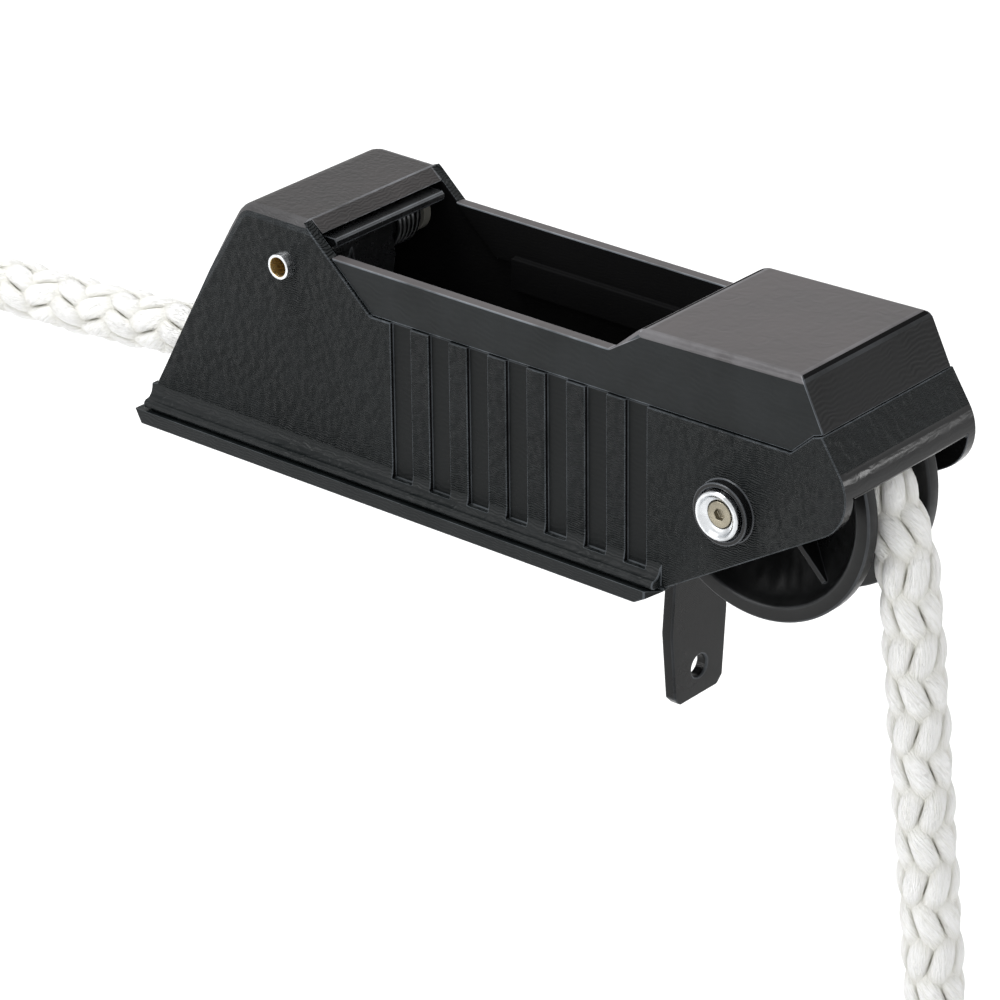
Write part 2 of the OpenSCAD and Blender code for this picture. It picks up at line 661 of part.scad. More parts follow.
module jaw_screws() {
    color(silver) for (x = jaw_screw_x, s = [-1, 1]) translate([x, s * jaw_screw_y, base_t]) difference() {
        union() {
            translate([0, 0, -3]) cylinder(r = 1.4, h = jaw_t + 3, $fn = 32);
            translate([0, 0, jaw_t - 1.2]) cylinder(r1 = 1.4, r2 = 2.6, h = 1.2, $fn = 32);
        }
        for (a = [0, 90]) rotate(a) translate([-1.4, -0.3, jaw_t - 0.7]) cube([2.8, 0.6, 2]);
    }
}

// Points of an arc in the XZ plane round c, its angles measured from +X towards +Z
function arc_points(c, r, a0, a1, n) = [for (k = [0:n]) let(a = a0 + (a1 - a0) * k / n)
    [c[0] + r * cos(a), 0, c[1] + r * sin(a)]];

// Rope inside the housing: level over the jaw, up the well and over the sheave
module rope_inner() {
    bend_start = bend_x - bend_run;
    level = [[rope_join_x, 0, rope_low_z], [(rope_join_x + bend_start) / 2, 0, rope_low_z]];
    bend = arc_points([bend_start, rope_low_z + bend_r], bend_r, -90, climb_a - 90, 3);
    wrap = arc_points([axle_x, axle_z], rope_turn_r, 90 + climb_a, 90 - leave_a, 12);
    color(rope_white) tube(concat(level, bend, wrap), rope_r, 12);
}

module rope_fall() {
    color(rope_white) tube(fall_route, rope_r, tube_sides);
}

module rope_tail() {
    color(rope_white) tube(tail_route, rope_r, tube_sides);
}

// Places its child at the lower end of the fall, with -Z along the rope
module at_fall_end() {
    end = fall_route[len(fall_route) - 1];
    translate(end) rotate([0, -eye_a, 0]) children();
}

// Places its child at the aft end of the tail, with -Z along the rope and the eye lying flat
module at_tail_end() {
    translate(tail_route[len(tail_route) - 1]) rotate([0, 90, 0]) rotate([0, 0, 90]) children();
}

// Eye in the XZ plane: down one leg, round, and back up to the standing part
module eye() {
    leg_a = asin(eye_turn_r / eye_drop);
    turn = arc_points([0, -eye_drop], eye_turn_r, leg_a, -180 - leg_a, 14);
    meet = (rope_r + 0.4) / sin(leg_a);
    tube(concat([[0, 0, 0], [2, 0, -5]], turn, [[-meet * sin(leg_a), 0, -meet * cos(leg_a)]]), rope_r, 12);
}

module fall_eye() {
    color(rope_white) at_fall_end() eye();
}

module tail_eye() {
    color(rope_white) at_tail_end() eye();
}

module thimble() {
    color(silver) at_fall_end() translate([0, 0, -eye_drop]) rotate([90, 0, 0]) rotate_extrude($fn = 96)
        difference() {
            translate([thimble_r - thimble_wall - 0.3, -4.4]) square([4.4, 8.8]);
            translate([eye_turn_r, 0]) circle(rope_r + 0.3, $fn = 48);
        }
}

housing();
top_cover();
base_plate();
front_leg();
leg_rivets();
housing_screws();
sheave();
sheave_bush();
sheave_washer(-1);  // sheave_washer_near
sheave_washer(1);  // sheave_washer_far
axle_tube();
axle_screws();
axle_cup(-1);  // axle_cup_near
axle_cup(1);  // axle_cup_far
cam_pin();
rope_cam();
cam_washer(-1);  // cam_washer_near
cam_washer(1);  // cam_washer_far
cam_spring();
jaw_plate();
jaw_screws();
rope_inner();
rope_fall();
rope_tail();
fall_eye();
thimble();
tail_eye();
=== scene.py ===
import math
import bmesh
import bpy
from mathutils import Matrix, Vector
from mathutils.bvhtree import BVHTree


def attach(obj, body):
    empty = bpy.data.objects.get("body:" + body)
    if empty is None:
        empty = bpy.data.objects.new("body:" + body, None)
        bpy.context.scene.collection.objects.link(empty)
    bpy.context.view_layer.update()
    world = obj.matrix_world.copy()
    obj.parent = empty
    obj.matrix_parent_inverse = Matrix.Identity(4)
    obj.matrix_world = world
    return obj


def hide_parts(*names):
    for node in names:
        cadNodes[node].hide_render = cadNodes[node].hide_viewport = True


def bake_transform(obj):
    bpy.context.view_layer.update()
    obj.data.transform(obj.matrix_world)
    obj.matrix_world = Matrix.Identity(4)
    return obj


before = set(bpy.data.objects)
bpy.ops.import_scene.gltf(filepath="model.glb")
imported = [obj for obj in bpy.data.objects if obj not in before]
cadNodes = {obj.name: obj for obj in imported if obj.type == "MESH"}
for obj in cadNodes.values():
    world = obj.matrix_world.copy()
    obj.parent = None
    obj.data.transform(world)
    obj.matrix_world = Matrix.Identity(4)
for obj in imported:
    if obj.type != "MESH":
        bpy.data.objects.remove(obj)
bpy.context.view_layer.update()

mm = 0.001
print("frame loaded:", len(cadNodes), "nodes")

cameraView = {
    "lens": 174.57,            # millimetres on a 36 mm sensor
    "azimuth": 40.46,          # degrees round from the nose towards the near side
    "elevation": 25.64,        # degrees above level
    "roll": -0.663,            # degrees
    "target": (-0.0198, 0.0118, -0.0113),
    "distance": 1.15,
}


def addCamera(view):
    data = bpy.data.cameras.new("camera")
    data.sensor_width = 36
    data.lens = view["lens"]
    data.clip_start = 0.05
    data.clip_end = 20
    camera = bpy.data.objects.new("camera", data)
    bpy.context.scene.collection.objects.link(camera)
    turn = math.radians(view["azimuth"])
    rise = math.radians(view["elevation"])
    back = Vector((math.sin(turn) * math.cos(rise), -math.cos(turn) * math.cos(rise), math.sin(rise)))
    place = Vector(view["target"]) + back * view["distance"]
    aim = (-back).to_track_quat("-Z", "Y").to_matrix().to_4x4()
    roll = Matrix.Rotation(math.radians(view["roll"]), 4, "Z")
    camera.matrix_world = Matrix.Translation(place) @ aim @ roll
    bpy.context.scene.camera = camera


addCamera(cameraView)


# shader helpers
def newMaterial(name, colour, roughness, metallic=0.0, specular=0.5):
    material = bpy.data.materials.new(name)
    material.use_nodes = True
    shader = material.node_tree.nodes["Principled BSDF"]
    shader.inputs["Base Color"].default_value = (*colour, 1)
    shader.inputs["Roughness"].default_value = roughness
    shader.inputs["Metallic"].default_value = metallic
    shader.inputs["Specular IOR Level"].default_value = specular
    return material, material.node_tree, shader


def addNode(tree, kind, settings=None, **inputs):
    node = tree.nodes.new(kind)
    for key, value in (settings or {}).items():
        setattr(node, key, value)
    for key, value in inputs.items():
        socket = node.inputs[key.replace("_", " ")]
        if isinstance(value, bpy.types.NodeSocket):
            tree.links.new(value, socket)
        else:
            socket.default_value = value
    return node


def objectPlace(tree, scale=(1, 1, 1), turn=(0, 0, 0)):
    place = addNode(tree, "ShaderNodeTexCoord").outputs["Object"]
    mapping = addNode(tree, "ShaderNodeMapping", Vector=place, Scale=scale, Rotation=turn)
    return mapping.outputs["Vector"]


def fade(tree, value, low, high, fromLow=0.0, fromHigh=1.0):
    node = addNode(tree, "ShaderNodeMapRange", Value=value)
    node.inputs["From Min"].default_value = fromLow
    node.inputs["From Max"].default_value = fromHigh
    node.inputs["To Min"].default_value = low
    node.inputs["To Max"].default_value = high
    return node.outputs["Result"]


def mixColours(tree, share, first, second):
    node = addNode(tree, "ShaderNodeMix", {"data_type": "RGBA"})
    for socket, value in ((node.inputs[0], share), (node.inputs[6], first), (node.inputs[7], second)):
        if isinstance(value, bpy.types.NodeSocket):
            tree.links.new(value, socket)
        else:
            socket.default_value = value if isinstance(value, float) else (*value, 1)
    return node.outputs[2]


def addBump(tree, shader, height, strength, distance, under=None):
    bump = addNode(tree, "ShaderNodeBump", Height=height, Strength=strength, Distance=distance)
    if under:
        tree.links.new(under, bump.inputs["Normal"])
    tree.links.new(bump.outputs["Normal"], shader.inputs["Normal"])
    return bump.outputs["Normal"]


def inMetres(points):
    return [Vector(p) * mm for p in points]


def placed(points, matrix):
    return [matrix @ Vector(p) for p in points]


def pathLength(points):
    return sum((b - a).length for a, b in zip(points, points[1:]))


def curveFrom(points, name):
    data = bpy.data.curves.new(name, "CURVE")
    data.dimensions = "3D"
    spline = data.splines.new("POLY")
    spline.points.add(len(points) - 1)
    for point, place in zip(spline.points, points):
        point.co = (*place, 1)
    obj = bpy.data.objects.new(name, data)
    bpy.context.scene.collection.objects.link(obj)
    return obj


def newTree(name, sockets):
    tree = bpy.data.node_groups.new(name, "GeometryNodeTree")
    tree.interface.new_socket("Geometry", in_out="INPUT", socket_type="NodeSocketGeometry")
    for label, kind, value in sockets:
        socket = tree.interface.new_socket(label, in_out="INPUT", socket_type="NodeSocket" + kind)
        if value is not None:
            socket.default_value = value
    tree.interface.new_socket("Geometry", in_out="OUTPUT", socket_type="NodeSocketGeometry")
    return tree, tree.nodes.new("NodeGroupInput").outputs, tree.nodes.new("NodeGroupOutput").inputs


def math2(tree, operation, a, b=0.0):
    node = addNode(tree, "ShaderNodeMath", {"operation": operation})
    for socket, value in zip(node.inputs, (a, b)):
        if isinstance(value, bpy.types.NodeSocket):
            tree.links.new(value, socket)
        else:
            socket.default_value = value
    return node.outputs[0]


def vector2(tree, operation, a, b=(0, 0, 0)):
    node = addNode(tree, "ShaderNodeVectorMath", {"operation": operation})
    slots = [node.inputs[0], node.inputs["Scale"] if operation == "SCALE" else node.inputs[1]]
    for socket, value in zip(slots, (a, b)):
        if isinstance(value, bpy.types.NodeSocket):
            tree.links.new(value, socket)
        else:
            socket.default_value = value
    return node.outputs["Value" if operation in ("LENGTH", "DISTANCE") else "Vector"]


def capture(tree, geometry, kind, value):
    node = tree.nodes.new("GeometryNodeCaptureAttribute")
    node.capture_items.new(kind, "kept")
    tree.links.new(geometry, node.inputs[0])
    tree.links.new(value, node.inputs[1])
    return node.outputs[0], node.outputs[1]


def storeField(tree, geometry, name, kind, value):
    node = addNode(tree, "GeometryNodeStoreNamedAttribute", {"data_type": kind, "domain": "POINT"}, Name=name)
    tree.links.new(geometry, node.inputs["Geometry"])
    tree.links.new(value, next(s for s in node.inputs if s.name == "Value" and s.enabled))
    return node.outputs[0]


def bakeModifier(source, tree, values, name):
    modifier = source.modifiers.new(tree.name, "NODES")
    modifier.node_group = tree
    keys = {s.name: s.identifier for s in tree.interface.items_tree if s.in_out == "INPUT"}
    for label, value in values.items():
        modifier[keys[label]] = value
    bpy.context.view_layer.update()
    source.update_tag()
    found = source.evaluated_get(bpy.context.evaluated_depsgraph_get())
    mesh = bpy.data.meshes.new_from_object(found, preserve_all_data_layers=True,
                                           depsgraph=bpy.context.evaluated_depsgraph_get())
    source.modifiers.remove(modifier)
    obj = bpy.data.objects.new(name, mesh)
    bpy.context.scene.collection.objects.link(obj)
    mesh.name = name
    return obj


plasticLooks = {                       # colour, roughness, reflection, grain size per metre, grain depth, and the lightening of rounded edges: a painted edge highlight along with edge wear
    "grainedPlastic": {"colour": (0.0040, 0.0055, 0.0060), "pale": (0.0081, 0.0101, 0.0109), "roughness": 0.5,
                       "specular": 0.17, "grain": 560.0, "depth": 0.0006, "wearAndHighlight": 0.07},
    # painted light: a lighter, browner copy of the grained plastic for the hood's upward faces, as lit from
    # above
    "hoodTopLitPlastic": {"colour": (0.022, 0.0205, 0.0205), "pale": (0.036, 0.033, 0.033), "roughness": 0.5,
                    "specular": 0.24, "grain": 560.0, "depth": 0.00012, "wearAndHighlight": 0.08},
    "bandPlastic": {"colour": (0.0046, 0.0060, 0.0065), "pale": (0.0101, 0.0120, 0.0130), "roughness": 0.38,
                    "specular": 0.16, "grain": 220.0, "depth": 0.00003, "wearAndHighlight": 0.13},
    # painted light: a lighter, browner copy of the band plastic for the cover's upward faces, as lit from
    # above
    "coverTopLitPlastic": {"colour": (0.036, 0.032, 0.033), "pale": (0.056, 0.050, 0.051), "roughness": 0.42,
                     "specular": 0.34, "grain": 300.0, "depth": 0.00004, "wearAndHighlight": 0.12},
    "basePlastic": {"colour": (0.0040, 0.0055, 0.0060), "pale": (0.0081, 0.0097, 0.0104), "roughness": 0.4,
                    "specular": 0.16, "grain": 420.0, "depth": 0.00005, "wearAndHighlight": 0.07},
    "sheavePlastic": {"colour": (0.0040, 0.0042, 0.0044), "pale": (0.0065, 0.0068, 0.0071), "roughness": 0.34,
                      "specular": 0.22, "grain": 300.0, "depth": 0.000002, "wearAndHighlight": 0.05},
    "camPlastic": {"colour": (0.0072, 0.0075, 0.0081), "pale": (0.0120, 0.0126, 0.0132), "roughness": 0.26,
                   "specular": 0.4, "grain": 300.0, "depth": 0.00001, "wearAndHighlight": 0.08},
    # painted shade: a near-black, matte copy of the plastic for the faces inside the well, where shade falls
    "wellShadePlastic": {"colour": (0.0022, 0.0022, 0.0024), "pale": (0.0034, 0.0034, 0.0036), "roughness": 0.85,
                    "specular": 0.06, "grain": 400.0, "depth": 0.00002, "wearAndHighlight": 0.0},
    "noseGloss": {"colour": (0.0035, 0.0036, 0.0039), "pale": (0.0056, 0.0058, 0.0062), "roughness": 0.16,
                  "specular": 0.3, "grain": 300.0, "depth": 0.00001, "wearAndHighlight": 0.06},
    "stripePlastic": {"colour": (0.0030, 0.0038, 0.0041), "pale": (0.0054, 0.0065, 0.0068), "roughness": 0.42,
                      "specular": 0.12, "grain": 220.0, "depth": 0.00003, "wearAndHighlight": 0.05},
    # painted shade: a darker copy of the band plastic for the cover's front slope, which faces away from the
    # light
    "slopeShadedPlastic": {"colour": (0.0040, 0.0042, 0.0046), "pale": (0.0085, 0.0088, 0.0093), "roughness": 0.36,
                     "specular": 0.16, "grain": 300.0, "depth": 0.00003, "wearAndHighlight": 0.06},
    "legEnamel": {"colour": (0.0035, 0.0037, 0.0040), "pale": (0.0055, 0.0058, 0.0062), "roughness": 0.3,
                  "specular": 0.16, "grain": 800.0, "depth": 0.00002, "wearAndHighlight": 0.08},
}


def plasticMaterial(name, look):
    material, tree, shader = newMaterial(name, look["colour"], look["roughness"], specular=look["specular"])
    place = objectPlace(tree)
    cloud = addNode(tree, "ShaderNodeTexNoise", Vector=place, Scale=60.0, Detail=6.0,
                    Roughness=0.66).outputs["Fac"]
    ridges = addNode(tree, "ShaderNodeTexWave", {"bands_direction": "Z"}, Vector=place, Scale=look["grain"],
                     Distortion=8.0, Detail=1.0, Detail_Scale=0.8, Detail_Roughness=0.5).outputs["Fac"]
    speck = addNode(tree, "ShaderNodeTexNoise", Vector=place, Scale=look["grain"] * 2.4,
                    Detail=2.0).outputs["Fac"]
    colour = mixColours(tree, fade(tree, cloud, 0.0, 1.0, 0.36, 0.66), look["colour"], look["pale"])
    # painted highlight with wear: rounded edges turn paler and bluer, standing in for the light they catch as
    # well as for rubbing
    edge = addNode(tree, "ShaderNodeAttribute", {"attribute_name": "wearAndHighlight"}).outputs["Fac"]
    rubHighlightShare = math2(tree, "MULTIPLY", edge, fade(tree, cloud, 0.35, 1.0, 0.38, 0.62))
    wornHighlightColour = tuple(c * 1.3 + look["wearAndHighlight"] * s for c, s in zip(look["pale"], (0.86, 0.95, 1.06)))
    colour = mixColours(tree, rubHighlightShare, colour, wornHighlightColour)
    tree.links.new(colour, shader.inputs["Base Color"])
    dust = fade(tree, cloud, look["roughness"] - 0.07, look["roughness"] + 0.12, 0.3, 0.75)
    tree.links.new(dust, shader.inputs["Roughness"])
    height = math2(tree, "ADD", ridges, math2(tree, "MULTIPLY", speck, 0.6))
    addBump(tree, shader, height, 0.8, look["depth"])
    return material


metalLooks = {                         # colour, roughness, brushing scale
    "brightSteel": {"colour": (0.74, 0.76, 0.78), "roughness": 0.2, "brush": 900.0},
    "dullSteel": {"colour": (0.50, 0.51, 0.53), "roughness": 0.36, "brush": 700.0},
    "brassMetal": {"colour": (0.34, 0.31, 0.24), "roughness": 0.34, "brush": 800.0},
    # painted light: a lighter brass for the hollow pin's inside, which otherwise lies in shade
    "pinLitBrass": {"colour": (0.66, 0.52, 0.27), "roughness": 0.35, "brush": 800.0},
    "bronzeMetal": {"colour": (0.42, 0.27, 0.13), "roughness": 0.4, "brush": 500.0},
    "springSteel": {"colour": (0.16, 0.165, 0.17), "roughness": 0.3, "brush": 900.0},
}


def metalMaterial(name, look):
    material, tree, shader = newMaterial(name, look["colour"], look["roughness"], metallic=1.0)
    place = objectPlace(tree)
    cloud = addNode(tree, "ShaderNodeTexNoise", Vector=place, Scale=240.0, Detail=4.0).outputs["Fac"]
    brush = addNode(tree, "ShaderNodeTexNoise", Vector=objectPlace(tree, (1, 0.12, 1)), Scale=look["brush"],
                    Detail=3.0).outputs["Fac"]
    dark = tuple(c * 0.62 for c in look["colour"])
    tree.links.new(mixColours(tree, fade(tree, cloud, 0.0, 1.0, 0.3, 0.62), dark, look["colour"]),
                   shader.inputs["Base Color"])
    tree.links.new(fade(tree, cloud, look["roughness"] - 0.06, look["roughness"] + 0.16, 0.3, 0.7),
                   shader.inputs["Roughness"])
    addBump(tree, shader, brush, 0.25, 0.00008)
    return material


def nylonMaterial():
    material, tree, shader = newMaterial("washerNylon", (0.2, 0.2, 0.18), 0.5)
    cloud = addNode(tree, "ShaderNodeTexNoise", Vector=objectPlace(tree), Scale=300.0,
                    Detail=3.0).outputs["Fac"]
    tree.links.new(mixColours(tree, cloud, (0.16, 0.155, 0.14), (0.24, 0.235, 0.21)),
                   shader.inputs["Base Color"])
    addBump(tree, shader, cloud, 0.2, 0.0001)
    return material


finishes = {name: plasticMaterial(name, look) for name, look in plasticLooks.items()}
finishes |= {name: metalMaterial(name, look) for name, look in metalLooks.items()}
finishes["washerNylon"] = nylonMaterial()
print("materials:", len(finishes))


ropeSizes = {
    "diameter": 14 * mm,
    "strands": 12,
    "pitch": 112 * mm,         # one full turn of a strand
    "layRadius": 4.6 * mm,     # middle of a strand from the middle of the rope
    "wave": 0.95 * mm,          # how far strands rise and dip where they cross
    "strandHalf": 1.75 * mm,    # half the thickness of a flattened strand
    "strandFlat": 1.55,       # its width over its thickness
    "step": 1.5 * mm,
}
tailRoute = [(-94, 0, 14.2), (-104, 0, 13), (-118, 0, 11.4), (-134, 0, 9.8), (-150, 0, 8.6), (-166, 0, 7.8),
             (-180, 0, 7.2), (-192, 0, 7)]
fallRoute = [(96.5, 0, 38.9), (101, 0, 30), (104.8, 0, 22), (107, 0, 14), (108.4, 0, 3), (110.2, 0, -14),
             (112.4, 0, -36), (114.6, 0, -58), (116.8, 0, -80), (118.8, 0, -102)]
innerRun = {                       # the stretch that the housing holds, in millimetres
    "joinX": -94, "lowZ": 14.2,
    "bendX": -34, "bendRadius": 60,
    "axle": (75.2, 28.1), "turnRadius": 23.9,
    "leaveAngle": 63,
}
ropeEye = {"turnRadius": 18, "drop": 38, "fallLean": 5.2}


def arcPoints(centre, radius, first, last, count):
    points = []
    for k in range(count + 1):
        angle = math.radians(first + (last - first) * k / count)
        points.append((centre[0] + radius * math.cos(angle), 0, centre[1] + radius * math.sin(angle)))
    return points


def innerRoute(run):
    toAxle = Vector((run["axle"][0] - run["bendX"], run["axle"][1] - run["lowZ"]))
    climb = math.degrees(math.atan2(toAxle.y, toAxle.x) + math.asin(run["turnRadius"] / toAxle.length))
    bendStart = run["bendX"] - run["bendRadius"] * math.tan(math.radians(climb / 2))
    level = [(run["joinX"] + (bendStart - run["joinX"]) * k / 4, 0, run["lowZ"]) for k in range(1, 4)]
    bend = arcPoints((bendStart, run["lowZ"] + run["bendRadius"]), run["bendRadius"], -90, climb - 90, 4)
    wrap = arcPoints(run["axle"], run["turnRadius"], 90 + climb, 90 - run["leaveAngle"], 10)
    straight = [tuple(Vector(bend[-1]).lerp(Vector(wrap[0]), k / 5)) for k in range(1, 5)]
    return level + bend + straight + wrap[:-1]


def eyeRoute(size):
    lean = math.degrees(math.asin(size["turnRadius"] / size["drop"]))
    turn = arcPoints((0, -size["drop"]), size["turnRadius"], lean, -180 - lean, 14)
    return [(1.2, 0, -4)] + turn + [(-8.5, 0, -16), (-3.4, 0, -7), (-0.6, 0, -1)]


def smoothPath(points, step):    # even points along a Catmull-Rom curve
    p = [Vector(q) for q in points]
    p = [2 * p[0] - p[1]] + p + [2 * p[-1] - p[-2]]
    fine = []
    for a, b, c, d in zip(p, p[1:], p[2:], p[3:]):
        parts = max(2, int((c - b).length / step) + 1)
        for k in range(parts):
            t = k / parts
            fine.append(0.5 * (2 * b + (c - a) * t + (2 * a - 5 * b + 4 * c - d) * t * t
                               + (3 * b - a - 3 * c + d) * t * t * t))
    return fine + [p[-2]]


def ropeTree():
    tree, given, result = newTree("plaitedRope", [
        ("Strands", "Int", 12), ("Pitch", "Float", 0.07), ("Lay Radius", "Float", 0.004),
        ("Wave", "Float", 0.001),
        ("Strand Half", "Float", 0.002), ("Strand Flat", "Float", 1.8), ("Step", "Float", 0.002),
        ("From", "Float", 0.0), ("To", "Float", 1.0),
        ("Side", "Vector", (0, 1, 0)), ("Phase", "Float", 0.0), ("Shift", "Float", 0.0),
        ("Material", "Material", None)])
    along = addNode(tree, "GeometryNodeSplineParameter").outputs["Length"]
    way = math2(tree, "ADD", along, given["Shift"])
    curve, way = capture(tree, given["Geometry"], "FLOAT", way)
    trim = addNode(tree, "GeometryNodeTrimCurve", {"mode": "LENGTH"})
    tree.links.new(curve, trim.inputs["Curve"])
    starts = [s for s in trim.inputs if s.name == "Start" and s.enabled]
    ends = [s for s in trim.inputs if s.name == "End" and s.enabled]
    tree.links.new(given["From"], starts[-1])
    tree.links.new(given["To"], ends[-1])
    resample = addNode(tree, "GeometryNodeResampleCurve", {"mode": "LENGTH"})
    tree.links.new(trim.outputs[0], resample.inputs["Curve"])
    tree.links.new(given["Step"], resample.inputs["Length"])
    middle = addNode(tree, "GeometryNodeInputPosition").outputs[0]
    curve, centre = capture(tree, resample.outputs[0], "VECTOR", middle)
    copies = addNode(tree, "GeometryNodeDuplicateElements", {"domain": "SPLINE"})
    tree.links.new(curve, copies.inputs["Geometry"])
    tree.links.new(given["Strands"], copies.inputs["Amount"])
    number = copies.outputs["Duplicate Index"]
    half = math2(tree, "DIVIDE", given["Strands"], 2.0)
    turned = math2(tree, "SUBTRACT", 1.0, math2(tree, "MULTIPLY", 2.0, math2(
        tree, "GREATER_THAN", number, math2(tree, "SUBTRACT", half, 0.5))))  # +1 or -1: its way round
    place = math2(tree, "DIVIDE", way, given["Pitch"])
    angle = math2(tree, "MULTIPLY", math2(tree, "MULTIPLY", place, math.tau), turned)
    seat = math2(tree, "MULTIPLY", math2(tree, "MODULO", number, half), math2(tree, "DIVIDE", math.tau, half))
    angle = math2(tree, "ADD", math2(tree, "ADD", angle, seat), given["Phase"])
    waves = math2(tree, "MULTIPLY", math2(tree, "MULTIPLY", place, math.pi), given["Strands"])
    rise = math2(tree, "COSINE", waves)
    rise = math2(tree, "MULTIPLY", math2(tree, "MULTIPLY", rise, turned), given["Wave"])
    radius = math2(tree, "ADD", given["Lay Radius"], rise)
    tangent = addNode(tree, "GeometryNodeInputTangent").outputs[0]
    out = vector2(tree, "NORMALIZE", vector2(tree, "CROSS_PRODUCT", tangent, given["Side"]))
    offset = vector2(tree, "ADD", vector2(tree, "SCALE", out, math2(tree, "COSINE", angle)),
                     vector2(tree, "SCALE", given["Side"], math2(tree, "SINE", angle)))
    move = addNode(tree, "GeometryNodeSetPosition", Offset=vector2(tree, "SCALE", offset, radius))
    tree.links.new(copies.outputs["Geometry"], move.inputs["Geometry"])
    face = addNode(tree, "GeometryNodeSetCurveNormal", {"mode": "FREE"}, Normal=offset)
    tree.links.new(move.outputs[0], face.inputs["Curve"])
    ring = addNode(tree, "GeometryNodeCurvePrimitiveCircle", Resolution=16, Radius=given["Strand Half"])
    shape = addNode(tree, "ShaderNodeCombineXYZ", X=1.0, Y=given["Strand Flat"], Z=1.0).outputs[0]
    flat = addNode(tree, "GeometryNodeTransform", Scale=shape)
    tree.links.new(ring.outputs[0], flat.inputs["Geometry"])
    part = addNode(tree, "GeometryNodeSplineParameter").outputs["Factor"]
    ring, around = capture(tree, flat.outputs[0], "FLOAT", part)
    sweep = addNode(tree, "GeometryNodeCurveToMesh", Fill_Caps=True)
    tree.links.new(face.outputs[0], sweep.inputs["Curve"])
    tree.links.new(ring, sweep.inputs["Profile Curve"])
    lay = math2(tree, "ADD", math2(tree, "MULTIPLY", around, math.tau), math2(tree, "MULTIPLY", way, 150.0))
    fibre = addNode(tree, "ShaderNodeCombineXYZ", X=math2(tree, "COSINE", lay), Y=math2(tree, "SINE", lay),
                    Z=math2(tree, "MULTIPLY", way, 30.0)).outputs[0]
    mesh = storeField(tree, sweep.outputs[0], "fibre", "FLOAT_VECTOR", fibre)
    # distance from the rope's middle, kept for the painted crevice shade
    outwardForShade = vector2(tree, "DISTANCE", addNode(tree, "GeometryNodeInputPosition").outputs[0], centre)
    mesh = storeField(tree, mesh, "outwardForShade", "FLOAT", outwardForShade)
    smooth = addNode(tree, "GeometryNodeSetShadeSmooth")
    tree.links.new(mesh, smooth.inputs["Geometry"])
    real = addNode(tree, "GeometryNodeRealizeInstances")
    tree.links.new(smooth.outputs[0], real.inputs["Geometry"])
    finish = addNode(tree, "GeometryNodeSetMaterial")
    tree.links.new(real.outputs[0], finish.inputs["Geometry"])
    tree.links.new(given["Material"], finish.inputs["Material"])
    tree.links.new(finish.outputs[0], result[0])
    return tree


def ropeMaterial():
    material, tree, shader = newMaterial("ropeFibre", (0.9, 0.9, 0.88), 0.5, specular=0.4)
    fibre = addNode(tree, "ShaderNodeAttribute", {"attribute_name": "fibre"}).outputs["Vector"]
    outwardForShade = addNode(tree, "ShaderNodeAttribute", {"attribute_name": "outwardForShade"}).outputs["Fac"]
    yarns = addNode(tree, "ShaderNodeTexNoise", Vector=fibre, Scale=5.0, Detail=5.0,
                    Roughness=0.72).outputs["Fac"]
    fine = addNode(tree, "ShaderNodeTexNoise", Vector=fibre, Scale=16.0, Detail=3.0,
                   Roughness=0.7).outputs["Fac"]
    # painted shade: strands darken towards the rope's middle, as the crevices between them fall in shade
    colour = mixColours(tree, fade(tree, outwardForShade, 0.0, 1.0, 0.0047, 0.0069), (0.60, 0.58, 0.46),
                        (0.98, 0.98, 0.97))
    colour = mixColours(tree, fade(tree, yarns, 0.4, 0.0, 0.34, 0.52), colour, (0.72, 0.71, 0.62))
    colour = mixColours(tree, fade(tree, fine, 0.25, 0.0, 0.36, 0.5), colour, (0.80, 0.80, 0.75))
    tree.links.new(colour, shader.inputs["Base Color"])
    shader.inputs["Sheen Weight"].default_value = 0.3
    shader.inputs["Sheen Roughness"].default_value = 0.35
    under = addNode(tree, "ShaderNodeBump", Height=yarns, Strength=0.8, Distance=0.0012).outputs["Normal"]
    addBump(tree, shader, fine, 0.6, 0.0006, under)
    return material


whippingSizes = {                      # twine round an eye's throat, in millimetres from the eye's start
    "from": 7.0, "to": -10.0, "twine": 1.5, "pitch": 1.45,
    "across": 7.6, "along": 7.6, "spread": 0.22,
}


def whippingRoute(size):
    turns = (size["from"] - size["to"]) / size["pitch"]
    points = []
    for k in range(int(turns * 24) + 1):
        angle = math.tau * k / 24
        down = size["from"] - size["pitch"] * k / 24
        wide = size["along"] + max(0.0, -down) * size["spread"]
        points.append((wide * math.cos(angle), size["across"] * math.sin(angle), down))
    return points


def wireTree():
    tree, given, result = newTree("roundWire", [("Radius", "Float", 0.001), ("Sides", "Int", 12),
                                                ("Material", "Material", None)])
    ring = addNode(tree, "GeometryNodeCurvePrimitiveCircle", Resolution=given["Sides"],
                   Radius=given["Radius"])
    sweep = addNode(tree, "GeometryNodeCurveToMesh", Fill_Caps=True)
    tree.links.new(given["Geometry"], sweep.inputs["Curve"])
    tree.links.new(ring.outputs[0], sweep.inputs["Profile Curve"])
    smooth = addNode(tree, "GeometryNodeSetShadeSmooth")
    tree.links.new(sweep.outputs[0], smooth.inputs["Geometry"])
    real = addNode(tree, "GeometryNodeRealizeInstances")
    tree.links.new(smooth.outputs[0], real.inputs["Geometry"])
    finish = addNode(tree, "GeometryNodeSetMaterial")
    tree.links.new(real.outputs[0], finish.inputs["Geometry"])
    tree.links.new(given["Material"], finish.inputs["Material"])
    tree.links.new(finish.outputs[0], result[0])
    return tree


def wirePiece(points, radius, sides, material, name):
    line = curveFrom(points, name + "Line")
    obj = bakeModifier(line, wireTree(), {"Radius": radius, "Sides": sides, "Material": material}, name)
    bpy.data.objects.remove(line)
    return obj


